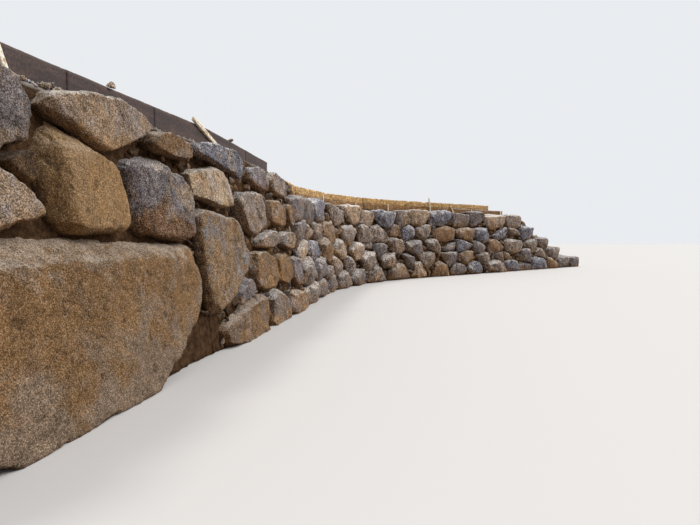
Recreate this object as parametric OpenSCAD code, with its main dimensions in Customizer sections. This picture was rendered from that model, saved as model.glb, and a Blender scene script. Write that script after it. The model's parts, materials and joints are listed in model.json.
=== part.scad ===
// Dry stone boulder wall: a battered front skin of large boulders, a thin hearting of packed rubble,
// a plainer rear skin, and a strip of form boards with its stakes standing on the hearting.
// Stations run along the foot line from the near end, depths run back from the foot line, z is up.

/* [Wall line] */
// Length of the near straight run
near_run = 11900; // [11000:100:13000]
// Length of the bend, measured on the foot line
bend_run = 5600; // [5000:100:7000]
// Angle through which the bend turns the wall
bend_turn = 41; // [30:1:50]
// Station where the wall's base ends
wall_end = 28600; // [28600:100:30000]
// Station where the top starts to rake down to the far end
rake_start = 24250; // [24000:50:25000]

/* [Section] */
// How far the face leans back for each unit of height
batter = 0.13; // [0.08:0.01:0.16]
// Depth of the front of the hearting behind the foot line
core_front = 850; // [820:10:950]
// Thickness of the hearting
core_thick = 300; // [250:10:350]
// Thickness of the rear skin
rear_skin = 550; // [450:10:650]
// Height of the hearting under the first near board
near_top = 2800; // [2780:10:2900]
// How much the near boards climb for each unit of length
near_rise = 0.02; // [0:0.005:0.03]
// Height of the hearting under the far boards
far_top = 2400; // [2350:10:2600]
// How much higher the first far plank starts
far_drop = 140; // [0:10:200]
// Number of bays, each as long as the others
bays = 6; // [6:1:6]

/* [Stones] */
// Height of the rear skin's courses
rear_course = 650; // [600:10:700]
// Average length of the rear skin's stones
rear_stone = 1350; // [1200:50:1600]
// How far a stone may stand in front of or behind the face line
face_play = 50; // [0:5:80]
// Squareness of the stones, from round to blocky
blockiness = 6; // [2.4:0.1:7]

/* [Boards] */
// Height of a near panel
panel_h = 300; // [250:10:350]
// Thickness of a near panel
panel_t = 12; // [9:1:21]
// Length of a near panel
panel_l = 1640; // [1500:10:1800]
// Number of near panels
panels = 6; // [5:1:6]
// Height of a far plank
plank_h = 200; // [120:10:220]
// Thickness of a far plank
plank_t = 25; // [18:1:40]
// Length of a far plank
plank_l = 2050; // [1600:50:2050]
// Number of far planks in each row
planks = 7; // [5:1:7]
// Side of a square stake
stake_w = 45; // [30:1:60]
// Height of most stakes above the hearting
stake_h = 420; // [350:10:550]

/* [Hidden] */

// Clearance that a stone keeps from the plane it shares with a neighbour
seat = 0.15;
// Clearance between parts that meet end to end
joint_gap = 2;
// Length of the closing stones at the near end, and the start of the hearting behind them
end_len = 900;
// How far the toe boulder's middle lies past the wall's end, its depth, and its half sizes
toe_past = 300;
toe_depth = 300;
toe_half = [380, 330, 270];
// How far the hearting and the rear skin stop short of the wall's end
core_short = 400;
rear_short = 300;
// Length of one bay
bay_len = wall_end / bays;
// Radius of the foot line in the bend
bend_r = bend_run / (bend_turn * PI / 180);
// Number of straight pieces that the hearting's line has in the bend
bend_steps = 6;
// Depth of the rear of the whole wall
rear_depth = core_front + core_thick + rear_skin;
// Depth of the boards' front faces
board_depth = core_front + core_thick / 2 - 10;
// Station where the near hearting is highest, under the end of the fourth panel, and its fall beyond
near_crest = 4 * (panel_l + joint_gap);
near_fall = 0.04;
// Station of the first far plank, past the step from the high top to the low one
plank_start = 2 * bay_len + 250;

// Outlines of the near boulders on the face, as station and height
great_foot_outline = [
    [900, 0], [3150, 0], [3450, 200], [4080, 500], [4400, 850], [4490, 1250], [4430, 1400], [3600, 1440],
    [2900, 1500], [1000, 1500]
];
flat_faced_outline = [
    [2110, 1510], [3000, 1505], [3130, 1580], [3150, 1700], [3100, 1920], [3000, 2160], [2850, 2210],
    [2500, 2330], [2150, 2450], [2085, 2445], [2070, 2250], [1995, 2120], [1990, 1930]
];
blue_outline = [
    [3190, 1510], [3620, 1450], [4300, 1420], [4440, 1500], [4450, 1750], [4470, 2030], [4330, 2200],
    [3950, 2330], [3450, 2340], [3140, 2250], [3180, 1900]
];
dark_top_outline = [
    [950, 2060], [1550, 2050], [1900, 2150], [2010, 2200], [2050, 2420], [2000, 2600], [1910, 2690],
    [1500, 2740], [1000, 2700]
];
long_top_outline = [
    [2150, 2490], [2500, 2370], [2790, 2265], [2980, 2270], [3560, 2500], [3770, 2590], [3800, 2690],
    [3690, 2780], [3130, 2810], [2500, 2720], [2150, 2600]
];
near_middle_outline = [
    [920, 1510], [1600, 1510], [1820, 1540], [2025, 1620], [2030, 1690], [1900, 1830], [1750, 1930],
    [1550, 2010], [920, 2030]
];
buff_block_outline = [
    [4540, 1960], [5170, 1910], [5560, 1870], [5840, 1920], [5790, 2080], [5740, 2310], [5560, 2450],
    [5030, 2400], [4490, 2300], [4500, 2080]
];
tall_outline = [
    [4600, 430], [4900, 480], [5950, 900], [6190, 1060], [6250, 1260], [6100, 1380], [5900, 1640],
    [5780, 1760], [5300, 1830], [4600, 1880], [4520, 1300]
];
buff_foot_outline = [
    [5050, 0], [6650, 0], [6880, 300], [6800, 530], [6300, 600], [5400, 450], [5000, 300]
];
round_outline = [
    [6330, 720], [6600, 610], [7250, 600], [7440, 700], [7470, 1000], [7380, 1150], [6950, 1265],
    [6330, 1255], [6290, 1000]
];
brown_upper_outline = [
    [6230, 1520], [6600, 1480], [7290, 1690], [7350, 2060], [7240, 2220], [6900, 2215], [6150, 2205],
    [5880, 2010], [5980, 1740]
];
small_top_outline = [
    [3640, 2450], [3960, 2385], [4450, 2390], [4680, 2450], [4750, 2530], [4520, 2660], [4180, 2690],
    [3840, 2630]
];
grey_top_outline = [
    [4830, 2520], [5560, 2480], [5900, 2400], [6250, 2370], [6460, 2500], [6500, 2700], [6200, 2790],
    [5500, 2770], [4900, 2720], [4800, 2620]
];
chink_outlines = [
    [[1640, 2000], [1900, 1870], [1955, 1900], [1950, 2130], [1900, 2120], [1680, 2040]],
    [[5450, 500], [6100, 630], [6220, 730], [6100, 880], [5960, 880], [5500, 670]]
];
foot_outlines = [
    [[6750, 0], [7900, 0], [8050, 300], [7900, 490], [7300, 600], [6950, 500], [7000, 300]],
    [[8000, 0], [9250, 0], [9300, 250], [9000, 410], [8250, 460], [8130, 300]]
];
middle_outlines = [
    [[7520, 650], [8150, 560], [8380, 750], [8340, 1050], [7950, 1190], [7540, 1190]],
    [[8450, 540], [9000, 470], [9200, 700], [9050, 1050], [8600, 1130], [8430, 900]],
    [[6560, 1310], [7500, 1285], [7750, 1420], [7650, 1600], [7350, 1600], [6600, 1430]]
];
upper_outlines = [
    [[7450, 1720], [8200, 1640], [8450, 1850], [8340, 2080], [7900, 2180], [7500, 2120]],
    [[7850, 1300], [8750, 1210], [8950, 1450], [8600, 1610], [7950, 1560]],
    [[8560, 1760], [8780, 1670], [8940, 1760], [8880, 2130], [8620, 2150], [8480, 2030]]
];
top_outlines = [
    [[6600, 2330], [7420, 2230], [7590, 2420], [7450, 2620], [7000, 2690], [6640, 2590]],
    [[7700, 2290], [8500, 2240], [8700, 2420], [8550, 2640], [7900, 2700], [7650, 2500]]
];
// Height to which each closing stone at the near end reaches
end_heights = [0, 720, 1480, 2130, 2760];

// Middle heights of the face courses beyond the near boulders, from the foot up
row_heights = [230, 640, 1080, 1560, 2100];
// Line that divides the near boulders from those courses: its station at the foot, and its lean
division_foot = 9450;
division_lean = 0.26;
// Average stone length in the two lowest courses, and how far a joint strays from even spacing
low_stone = 1100;
joint_stray = 0.4;
// How far a stone's middle strays from its course's height
row_stray = 60;
// Stations of the joints in the three upper courses, from the foot up
upper_joints = [
    [9150, 10200, 11300, 12700, 13900, 14800, 15500, 16300, 17200, 18200, 19100, 20000, 21000, 22000,
     23100, 24600, 25700, 26700],
    [9000, 9900, 10800, 12000, 13500, 14700, 15400, 16400, 17050, 17800, 18650, 20050, 21100, 22250,
     23400, 24400, 25400, 26200],
    [8900, 9900, 11000, 12600, 14000, 15000, 15750, 16900, 17600, 18500, 19900, 21000, 21900, 23400,
     24600]
];

// Wall line
function turn_at(s) = bend_turn * min(max((s - near_run) / bend_run, 0), 1);
function along(s) = [cos(turn_at(s)), -sin(turn_at(s)), 0];
function inward(s) = [sin(turn_at(s)), cos(turn_at(s)), 0];
function foot(s) =
    s <= near_run ? [s, 0, 0] :
    [near_run, -bend_r, 0] + bend_r * inward(s) + max(s - near_run - bend_run, 0) * along(s);
// The origin stands under the middle of the whole wall's box
far_corner = foot(wall_end + toe_past + toe_half.x);
middle = [
    (far_corner.x + (toe_depth + toe_half.y / 2) * sin(bend_turn)) / 2,
    (far_corner.y + (toe_depth - toe_half.y / 2) * cos(bend_turn) + rear_depth) / 2,
    0
];
function spot(s, depth, z) = foot(s) + depth * inward(s) + [0, 0, z] - middle;
function face_depth(z) = batter * z;
// The near hearting climbs to its crest and then falls
function near_height(s) =
    near_top + near_rise * (min(s, near_crest) - end_len) - near_fall * max(0, s - near_crest);
// The far hearting falls to its level before the bend
function far_height(s) = far_top + far_drop * max(0, near_run - s) / (near_run - 2 * bay_len);
function rake_height(s, top) = top * min(1, max(0, (wall_end - s) / (wall_end - rake_start)));

// Small helpers
function unit(v) = v / norm(v);
function mean(list) = [for (i = [0:len(list) - 1]) 1] * list / len(list);
function smallest(list, key) = min([for (v = list) v[key]]);
function noise(low, high, seed) = rands(low, high, 1, seed)[0];

// A solid around a list of points
module shell_of(points) {
    hull() polyhedron(points = points, faces = [[for (i = [0:len(points) - 1]) i]]);
}

// Boulders drawn by their outline

// Each corner of an outline becomes two points, so that the boulder has no sharp arris
ease = 0.22;
function eased(outline) = [
    for (i = [0:len(outline) - 1]) let (
        a = outline[(i + len(outline) - 1) % len(outline)],
        b = outline[i],
        c = outline[(i + 1) % len(outline)]
    ) each [b + ease * (a - b), b + ease * (c - b)]
];
// Rings from the face to the bed: share of the depth, and share of the outline's size
face_rings = [[0, 0.86], [0.06, 0.96], [0.18, 1], [0.6, 1], [1, 0.84]];
// How far the top of a browed boulder leans back for each unit of height
brow_lean = 0.9;
// Share of the depth over which a flank runs back
flank_depth = 0.6;
// Closing stones run through the wall, so they keep their size from face to face
through_rings = [[0, 0.5], [0.03, 0.85], [0.12, 1], [0.88, 1], [1, 0.8]];
// The ring, as [share of the depth, size], shrinks towards the outline's middle, or towards the floor
// under a foot boulder
function ring_points(outline, ring, back, tilt, brow, narrowing) =
    let (
        lowest = smallest(outline, 1),
        centre = [mean(outline).x, lowest == 0 ? 0 : mean(outline).y]
    ) [
        for (p = outline) let (
            q = centre + ring[1] * (p - centre) + [narrowing * max(0, centre.x - p.x), 0],
            leaning = brow_lean * max(0, q.y - brow),
            front = face_depth(q.y) - face_play + tilt * (q.x - centre.x) + leaning
        ) spot(q.x, front + ring[0] * (back - front), q.y)
    ];

// tilt turns the face in plan: positive where the far side lies deeper
// brow is the height above which the face leans back at brow_lean
// flank is the share by which the face is narrowed on its near side, so that this side shows
module boulder(outline, tilt = 0, back = core_front - seat, rings = face_rings, brow = near_top, flank = 0) {
    soft = eased(outline);
    shell_of([
        for (r = rings)
            each ring_points(r[0] == 0 || r[0] > 0.7 ? outline : soft, r, back, tilt * (1 - r[0]), brow,
                             flank * max(0, 1 - r[0] / flank_depth))
    ]);
}

// Boulders grown between their neighbours

// Stones further away than this along the wall can't touch
neighbour_span = 2400;
// How much longer than its place a stone starts, so that its neighbours cut it to fit
overgrown = 1.25;
// How much deeper than its place a stone starts
over_deep = 1.08;
// Half heights from which face stones and rear stones start
face_half_z = 340;
rear_half_z = 400;
// Points on a face stone and on a rear stone, besides their corners
face_detail = 34;
rear_detail = 14;
corner_ways = [for (x = [-1, 1]) for (y = [-1, 1]) for (z = [-1, 1]) [x, y, z]];
// Directions spread evenly over a sphere
function directions(n, twist) = [
    for (i = [0:n - 1]) let (z = 1 - (2 * i + 1) / n, a = 137.508 * i + twist)
        [sqrt(1 - z * z) * cos(a), sqrt(1 - z * z) * sin(a), z]
];
// A grown stone is [middle point, half sizes along, inward and up, station, seed]
function stone(s, depth, z, half, seed) = [spot(s, depth, z), half, s, seed];
function weight(st) = 0.7 * pow(st[1].x / overgrown, 2);
function in_wall_axes(st, d) = [d * along(st[2]), d * inward(st[2]), d.z];
// Distance from a stone's middle to its own round surface in direction d
function round_reach(st, d) =
    let (v = in_wall_axes(st, d), p = blockiness)
    1 / pow(pow(abs(v.x) / st[1].x, p) + pow(abs(v.y) / st[1].y, p) + pow(abs(v.z) / st[1].z, p), 1 / p);
// The plane that two stones share, as its direction and its distance from the first one's middle
function shared_plane(a, b) =
    let (gap = b[0] - a[0], far = norm(gap))
    [gap / far, (far * far + weight(a) - weight(b)) / (2 * far) - seat];
function plane_reach(plane, d) = d * plane[0] > 0.01 ? plane[1] / (d * plane[0]) : 1e6;
function reach(st, planes, d) = min(round_reach(st, d), min([for (p = planes) plane_reach(p, d)]));

module grown_stone(st, others, fixed_planes, detail) {
    planes = [
        for (o = others) if (abs(o[2] - st[2]) < neighbour_span && norm(o[0] - st[0]) > 1) shared_plane(st, o),
        each fixed_planes
    ];
    spread = [
        for (v = concat(directions(detail, noise(0, 360, st[3])), corner_ways))
            let (w = [v.x * st[1].x, v.y * st[1].y, v.z * st[1].z])
            unit(w.x * along(st[2]) + w.y * inward(st[2]) + [0, 0, w.z])
    ];
    contacts = [for (p = planes) if (p[1] < round_reach(st, p[0])) p[0]];
    shell_of([for (d = concat(spread, contacts)) st[0] + reach(st, planes, d) * d]);
}

// Corners of the hearting's line in plan, at a given depth: the bend is a chain of straight pieces
bend_stations = [for (i = [0:bend_steps]) near_run + bend_run * i / bend_steps];
core_stations = [0, each bend_stations, wall_end + 1000];
function chord_normal(i) =
    let (a = foot(core_stations[i]), b = foot(core_stations[i + 1]), v = unit(b - a))
    [-v.y, v.x, 0];
// Planes of the hearting's front that lie near a stone, facing away from the stone
function core_front_planes(st) = [
    for (i = [0:len(core_stations) - 2])
        if (core_stations[i] < st[2] + neighbour_span && core_stations[i + 1] > st[2] - neighbour_span)
            let (n = chord_normal(i), p = spot(core_stations[i], 0, 0) + core_front * n)
            [n, n * (p - st[0]) - seat]
];
// The one plane of the hearting's back that a rear stone beds against
function core_rear_plane(st) =
    let (
        i = max([for (k = [0:len(core_stations) - 2]) if (core_stations[k] <= st[2]) k]),
        n = chord_normal(i),
        p = spot(core_stations[i], 0, 0) + (core_front + core_thick) * n
    )
    [-n, -n * (p - st[0]) - seat];
function floor_plane(st) = [[0, 0, -1], st[0].z];

// Face courses beyond the near boulders
low_joints = [
    for (k = [0, 1]) let (
        start = division_foot - division_lean * row_heights[k],
        stop = wall_end - k * low_stone,
        n = round((stop - start) / low_stone)
    ) [
        for (i = [0:n])
            let (stray = i == 0 || i == n ? 0 : noise(-0.5, 0.5, 40 + 50 * k + i) * joint_stray)
            start + (stop - start) * (i + stray) / n
    ]
];
rows = concat(low_joints, upper_joints);
face_stones = [
    for (r = [0:len(rows) - 1]) for (i = [0:len(rows[r]) - 2]) let (
        s = (rows[r][i] + rows[r][i + 1]) / 2,
        half_l = (rows[r][i + 1] - rows[r][i]) / 2,
        seed = 100 * r + i,
        z = row_heights[r] + noise(-1, 1, seed + 7) * row_stray,
        front = face_depth(z) + noise(-face_play, face_play, seed + 13),
        half_d = (core_front - front) / 2
    ) if (r == 0 || z < rake_height(s, far_top) - 50)
        stone(s, front + half_d, z, [half_l * overgrown, half_d * over_deep, face_half_z], seed)
];
toe_stone = stone(wall_end + toe_past, toe_depth, toe_half.z - 30, toe_half, 777);
face_family = concat(face_stones, [toe_stone]);
// The division from the near boulders is a plane across the face
function division_plane(st) =
    let (n = unit([-1, 0, -division_lean]), p = spot(division_foot, 0, 0))
    [n, n * (p - st[0]) - seat];
module face_stone(st) {
    grown_stone(st, face_family, [floor_plane(st), division_plane(st), each core_front_planes(st)],
                face_detail);
}
function in_bay(st, bay) = st[2] >= (bay == 3 ? 0 : (bay - 1) * bay_len) && st[2] < bay * bay_len;
module face_bay(bay) {
    color("darkgray") for (st = face_stones) if (in_bay(st, bay)) face_stone(st);
}

// Rear skin
rear_courses = round(near_top / rear_course);
function rear_height(r) = (r + 0.5) * near_top / rear_courses;
rear_stones = [
    for (r = [0:rear_courses - 1]) let (
        start = end_len + seat,
        stop = wall_end - rear_short,
        n = round((stop - start) / rear_stone),
        step = (stop - start) / n
    ) for (i = [0:n - 1]) let (
        seed = 3000 + 100 * r + i,
        s = start + step * (i + 0.5 + (r % 2 == 0 ? 0.2 : -0.2) + noise(-0.12, 0.12, seed)),
        local_top = s < 2 * bay_len ? near_top : rake_height(s, far_top),
        z = rear_height(r) * (s < 2 * bay_len ? 1 : far_top / near_top) + noise(-30, 30, seed + 9)
    ) if (z < local_top - 120)
        stone(s, core_front + core_thick + rear_skin / 2, z,
              [step / 2 * overgrown, rear_skin / 2 * over_deep, rear_half_z], seed)
];
function end_plane(st) = [[-1, 0, 0], (st[0] - spot(end_len, 0, 0)).x - seat];
module rear_bay(bay) {
    color("gray") for (st = rear_stones)
        if (st[2] >= (bay - 1) * bay_len && st[2] < bay * bay_len)
            grown_stone(st, rear_stones, [floor_plane(st), end_plane(st), core_rear_plane(st)], rear_detail);
}

// Hearting: one straight or cranked wall of packed rubble in each bay
function core_corner(i, depth) =
    i == 0 || i == len(core_stations) - 1 ? spot(core_stations[i], depth, 0) :
    let (
        n1 = chord_normal(i - 1),
        n2 = chord_normal(i),
        p = spot(core_stations[i], 0, 0)
    ) p + depth * (n1 + n2) / (1 + n1 * n2);
// A point of the hearting's plan line at station s, on the chord that it belongs to
function core_point(s, depth) =
    let (
        i = max([for (k = [0:len(core_stations) - 2]) if (core_stations[k] <= s) k]),
        t = (s - core_stations[i]) / (core_stations[i + 1] - core_stations[i]),
        a = core_corner(i, depth),
        b = core_corner(i + 1, depth)
    ) a + t * (b - a);
// A straight piece of hearting between two stations, with its top through the heights at its stations
module straight_hearting(stops, heights) {
    shell_of([
        for (i = [0:len(stops) - 1]) for (d = [core_front, core_front + core_thick])
            let (p = core_point(stops[i], d))
            each [[p.x, p.y, 0], [p.x, p.y, heights[i]]]
    ]);
}
module cranked_hearting(from, to) {
    stops = [from, for (s = core_stations) if (s > from && s < to) s, to];
    sides = [
        for (s = stops) core_point(s, core_front),
        for (i = [len(stops) - 1:-1:0]) core_point(stops[i], core_front + core_thick)
    ];
    linear_extrude(far_top) polygon([for (p = sides) [p.x, p.y]]);
}
module hearting(bay) {
    from = max((bay - 1) * bay_len, end_len) + seat;
    to = min(bay * bay_len, wall_end - core_short) - seat;
    color("sienna")
        if (bay <= 2) {
            stops = [from, if (near_crest > from && near_crest < to) near_crest, to];
            straight_hearting(stops, [for (s = stops) near_height(s)]);
        } else if (bay == 3) {
            straight_hearting([from, near_run - seat], [far_height(from), far_top]);
            cranked_hearting(near_run, to);
        } else if (bay < bays)
            cranked_hearting(from, to);
        else
            straight_hearting([from, to], [rake_height(from, far_top), rake_height(to, far_top)]);
}

// Near end
module end_stones() {
    for (i = [0:len(end_heights) - 2]) {
        low = end_heights[i];
        high = end_heights[i + 1] - 2 * seat;
        half = (low + high) / 2;
        color("gray") boulder(
            [[0, low], [end_len - 60, low], [end_len, half - 100], [end_len, half + 100],
             [end_len - 60, high], [30, high], [-20, half]],
            back = rear_depth, rings = through_rings
        );
    }
}

// Boards and stakes
module on_board(from, long, z) {
    a = core_point(from, board_depth);
    v = core_point(from + long, board_depth) - a;
    translate([a.x, a.y, z]) rotate(atan2(v.y, v.x)) children();
}
// The last panel is cut off where the second bay ends
module near_form_panels() {
    color("#4a3830") for (i = [0:panels - 1]) {
        start = i * (panel_l + joint_gap);
        on_board(start, panel_l, near_height(start))
            rotate([0, atan(start < near_crest ? -near_rise : near_fall), 0])
                cube([min(panel_l, 2 * bay_len - start - joint_gap), panel_t, panel_h]);
    }
}
function plank_station(i) = plank_start + i * (plank_l + joint_gap);
// The first plank lies on the falling part of the hearting
function plank_pitch(i) = i == 0 ? atan(far_drop / (near_run - 2 * bay_len)) : 0;
// Planks cross the corners of the hearting's line, so each is cut to the length between its ends, and the
// pitched one is shorter, so that its top clears the next
function plank_cut(i) =
    norm(core_point(plank_station(i) + plank_l, board_depth) - core_point(plank_station(i), board_depth))
    - 2 * plank_h * sin(plank_pitch(i));
// The upper row stops part of the way along its last plank
upper_end = 0.5;
module plank_row(row) {
    color("wheat") for (i = [0:planks - 1])
        on_board(plank_station(i), plank_l, far_height(plank_station(i)))
            rotate([0, plank_pitch(i), 0]) translate([0, 0, row * (plank_h + seat)])
                cube([plank_cut(i) * (row == 1 && i == planks - 1 ? upper_end : 1), plank_t, plank_h]);
}
// A square stake against the front of a board, cut level where it stands on the hearting
module stake(wide, high, lean) {
    intersection() {
        translate([0, -stake_w - seat, 0]) rotate([0, lean, 0]) translate([-wide / 2, 0, -wide])
            cube([wide, stake_w, high + wide]);
        translate([-high, -2 * stake_w, 0]) cube([2 * high, 2 * stake_w, high]);
    }
}
// Stakes of the far planks: plank, share of its length, share of the usual height, lean in degrees
stakes = [
    [1, 0.93, 0.76, -4], [2, 0.8, 0.47, -20], [3, 0.57, 0.54, 3], [4, 0.67, 1.33, -7],
    [5, 0.35, 0.84, -34], [5, 0.9, 0.48, 5], [6, 0.9, 0.5, 12]
];
module board_stakes() {
    color("wheat") for (st = stakes)
        on_board(plank_station(st[0]), plank_l, far_top) translate([st[1] * plank_cut(st[0]), 0, 0])
            stake(stake_w, st[2] * stake_h, st[3]);
}
// Braces that lie slanting across the near panels, just clear of the sloping hearting: station of the
// foot, length, lean in degrees
brace_wide = 60;
brace_clear = 5;
braces = [[2520, 520, -25], [7170, 1245, -72.6]];
module board_braces() {
    color("wheat") for (b = braces)
        on_board(b[0], panel_l, near_height(b[0]) + brace_clear) stake(brace_wide, b[1], b[2]);
}

// Colours
module great_foot_boulder() { color("tan") boulder(great_foot_outline, tilt = -0.01, brow = 1340); }
module flat_faced_boulder() { color("burlywood") boulder(flat_faced_outline, brow = 2200, flank = 0.45); }
module blue_boulder() { color("slategray") boulder(blue_outline, tilt = -0.04, brow = 2200, flank = 0.3); }
module dark_top_boulder() { color("dimgray") boulder(dark_top_outline, tilt = 0.05); }
module long_top_boulder() { color("burlywood") boulder(long_top_outline, tilt = 0.02); }
module near_middle_boulder() { color("tan") boulder(near_middle_outline, tilt = 0.03); }
module buff_block() { color("burlywood") boulder(buff_block_outline, tilt = 0.02); }
module tall_boulder() { color("rosybrown") boulder(tall_outline, tilt = 0.02); }
module buff_foot_boulder() { color("burlywood") boulder(buff_foot_outline, tilt = 0.02); }
module round_boulder() { color("tan") boulder(round_outline, tilt = -0.03); }
module brown_upper_boulder() { color("rosybrown") boulder(brown_upper_outline, tilt = 0.04); }
module small_top_boulder() { color("tan") boulder(small_top_outline); }
module grey_top_boulder() { color("dimgray") boulder(grey_top_outline, tilt = 0.03); }
module chink_stones() { color("peru") for (o = chink_outlines) boulder(o); }
module foot_boulders_bay_2() { color("tan") for (o = foot_outlines) boulder(o); }
module middle_boulders_bay_2() { color("peru") for (o = middle_outlines) boulder(o); }
module upper_boulders_bay_2() { color("rosybrown") for (o = upper_outlines) boulder(o); }
module top_boulders_bay_2() { color("slategray") for (o = top_outlines) boulder(o); }
module toe_boulder() { color("dimgray") face_stone(toe_stone); }

great_foot_boulder();
flat_faced_boulder();
blue_boulder();
dark_top_boulder();
long_top_boulder();
near_middle_boulder();
buff_block();
tall_boulder();
buff_foot_boulder();
round_boulder();
brown_upper_boulder();
small_top_boulder();
grey_top_boulder();
chink_stones();
foot_boulders_bay_2();
middle_boulders_bay_2();
upper_boulders_bay_2();
top_boulders_bay_2();
face_bay(3);  // face_boulders_bay_3
face_bay(4);  // face_boulders_bay_4
face_bay(5);  // face_boulders_bay_5
face_bay(6);  // face_boulders_bay_6
rear_bay(1);  // rear_boulders_bay_1
rear_bay(2);  // rear_boulders_bay_2
rear_bay(3);  // rear_boulders_bay_3
rear_bay(4);  // rear_boulders_bay_4
rear_bay(5);  // rear_boulders_bay_5
rear_bay(6);  // rear_boulders_bay_6
hearting(1);  // hearting_bay_1
hearting(2);  // hearting_bay_2
hearting(3);  // hearting_bay_3
hearting(4);  // hearting_bay_4
hearting(5);  // hearting_bay_5
hearting(6);  // hearting_bay_6
end_stones();
toe_boulder();
near_form_panels();
plank_row(0);  // far_planks_lower
plank_row(1);  // far_planks_upper
board_braces();
board_stakes();
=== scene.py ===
"""Looks of the dry stone boulder wall: rough boulders grown on the CAD solids, earth and chinks in the
joints, gravel on top, form boards and stakes. Metres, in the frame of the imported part."""
import json
import math

import bpy
import numpy as np
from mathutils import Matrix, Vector


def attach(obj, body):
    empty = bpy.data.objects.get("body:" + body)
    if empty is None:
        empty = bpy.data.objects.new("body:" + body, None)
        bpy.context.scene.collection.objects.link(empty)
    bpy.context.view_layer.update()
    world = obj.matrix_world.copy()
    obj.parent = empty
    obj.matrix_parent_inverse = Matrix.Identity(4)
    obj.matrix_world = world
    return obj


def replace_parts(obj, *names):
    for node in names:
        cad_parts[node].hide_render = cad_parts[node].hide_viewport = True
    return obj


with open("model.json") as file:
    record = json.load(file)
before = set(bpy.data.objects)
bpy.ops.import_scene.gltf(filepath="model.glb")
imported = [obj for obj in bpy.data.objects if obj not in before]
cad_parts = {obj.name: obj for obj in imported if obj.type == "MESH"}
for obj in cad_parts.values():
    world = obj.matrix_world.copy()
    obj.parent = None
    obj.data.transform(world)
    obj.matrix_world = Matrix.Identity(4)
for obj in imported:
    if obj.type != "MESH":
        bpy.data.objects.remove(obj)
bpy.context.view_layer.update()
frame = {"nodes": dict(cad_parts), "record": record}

# Wall line, as the CAD sets it out: stations along the foot line, depths behind it
NEAR_RUN = 11.9
BEND_RUN = 5.6
BEND_TURN = math.radians(41)
BEND_R = BEND_RUN / BEND_TURN
WALL_END = 28.6
RAKE_START = 24.25
BAYS = 6
STEP_STATION = 2 * WALL_END / BAYS
END_LEN = 0.9

# Section
BATTER = 0.13
CORE_FRONT = 0.85
CORE_THICK = 0.30
REAR_SKIN = 0.55
REAR_FACE = CORE_FRONT + CORE_THICK + REAR_SKIN

# Near form panels: their joint, how far they stand before the hearting's middle, and their own middle
PANEL_L = 1.64
PANEL_H = 0.30
PANEL_T = 0.012
JOINT_GAP = 0.002
PANEL_AHEAD = 0.010
BOARD_DEPTH = CORE_FRONT + CORE_THICK / 2 - PANEL_AHEAD + PANEL_T / 2

# Top of the hearting: rise and fall per metre of the near boards, and drop along the first far plank
NEAR_TOP = 2.8
NEAR_RISE = 0.02
NEAR_CREST = 4 * (PANEL_L + JOINT_GAP)
NEAR_FALL = 0.04
FAR_TOP = 2.4
FAR_DROP = 0.14

# The footing mount, whose station and depth tie the wall's line to the part's frame
FOOTING_STATION = 2.9
FOOTING_DEPTH = 1.0
FOOTING = frame["record"]["mounts"][0]["pos_m"]
ORIGIN_STATION = FOOTING_STATION - FOOTING[0]
ORIGIN_DEPTH = FOOTING_DEPTH - FOOTING[1]

# Camera, from the photograph's horizon and the eye height over the foot of the wall
EYE_STATION = -1.49
EYE_DEPTH = -2.64
EYE_HEIGHT = 1.5
EYE_YAW = math.radians(9.3)
EYE_PITCH = math.radians(-2.88)
FOCAL_PX = 526
FRAME_W_PX = 700
SENSOR_MM = 36


def turned(station):
    """How far the foot line has turned at a station."""
    return np.clip((station - NEAR_RUN) / BEND_R, 0, BEND_TURN)


def place(station, depth, z):
    """Points in the part's frame from arrays of station, depth and height."""
    station, depth, z = np.broadcast_arrays(*(np.asarray(v, float) for v in (station, depth, z)))
    turn = turned(station)
    past = np.clip(station - NEAR_RUN - BEND_RUN, 0, None)
    x = np.minimum(station, NEAR_RUN) + (BEND_R + depth) * np.sin(turn) + past * np.cos(turn)
    y = (BEND_R + depth) * np.cos(turn) - BEND_R - past * np.sin(turn)
    return np.stack([x - ORIGIN_STATION, y - ORIGIN_DEPTH, z], -1)


def wall_coords(points):
    """Station, depth and height of points in the part's frame."""
    x = points[:, 0] + ORIGIN_STATION
    y = points[:, 1] + ORIGIN_DEPTH
    angle = np.arctan2(x - NEAR_RUN, y + BEND_R)
    c, s = math.cos(BEND_TURN), math.sin(BEND_TURN)
    along = (x - NEAR_RUN) * c - (y + BEND_R) * s
    out = (x - NEAR_RUN) * s + (y + BEND_R) * c - BEND_R
    runs = [angle <= 0, angle >= BEND_TURN]
    station = np.select(runs, [x, NEAR_RUN + BEND_RUN + along], NEAR_RUN + BEND_R * angle)
    depth = np.select(runs, [y, out], np.hypot(x - NEAR_RUN, y + BEND_R) - BEND_R)
    return np.stack([station, depth, points[:, 2]], -1)


def new_object(name, data):
    """A new object, linked to the scene."""
    obj = bpy.data.objects.new(name, data)
    bpy.context.scene.collection.objects.link(obj)
    return obj


def set_camera():
    """The photograph's viewpoint, on the open side of the wall near its first end."""
    cam = bpy.data.cameras.new("camera")
    cam.sensor_width = SENSOR_MM
    cam.lens = SENSOR_MM * FOCAL_PX / FRAME_W_PX
    eye = new_object("camera", cam)
    eye.location = (EYE_STATION - ORIGIN_STATION, EYE_DEPTH - ORIGIN_DEPTH, EYE_HEIGHT)
    aim = Vector((math.cos(EYE_YAW), math.sin(EYE_YAW), math.tan(EYE_PITCH)))
    eye.rotation_euler = aim.to_track_quat("-Z", "Y").to_euler()
    bpy.context.scene.camera = eye


# Noise in numpy

HASH_X, HASH_Y, HASH_Z, HASH_MIX = 374761393, 668265263, 2147483647, 1274126177


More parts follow.
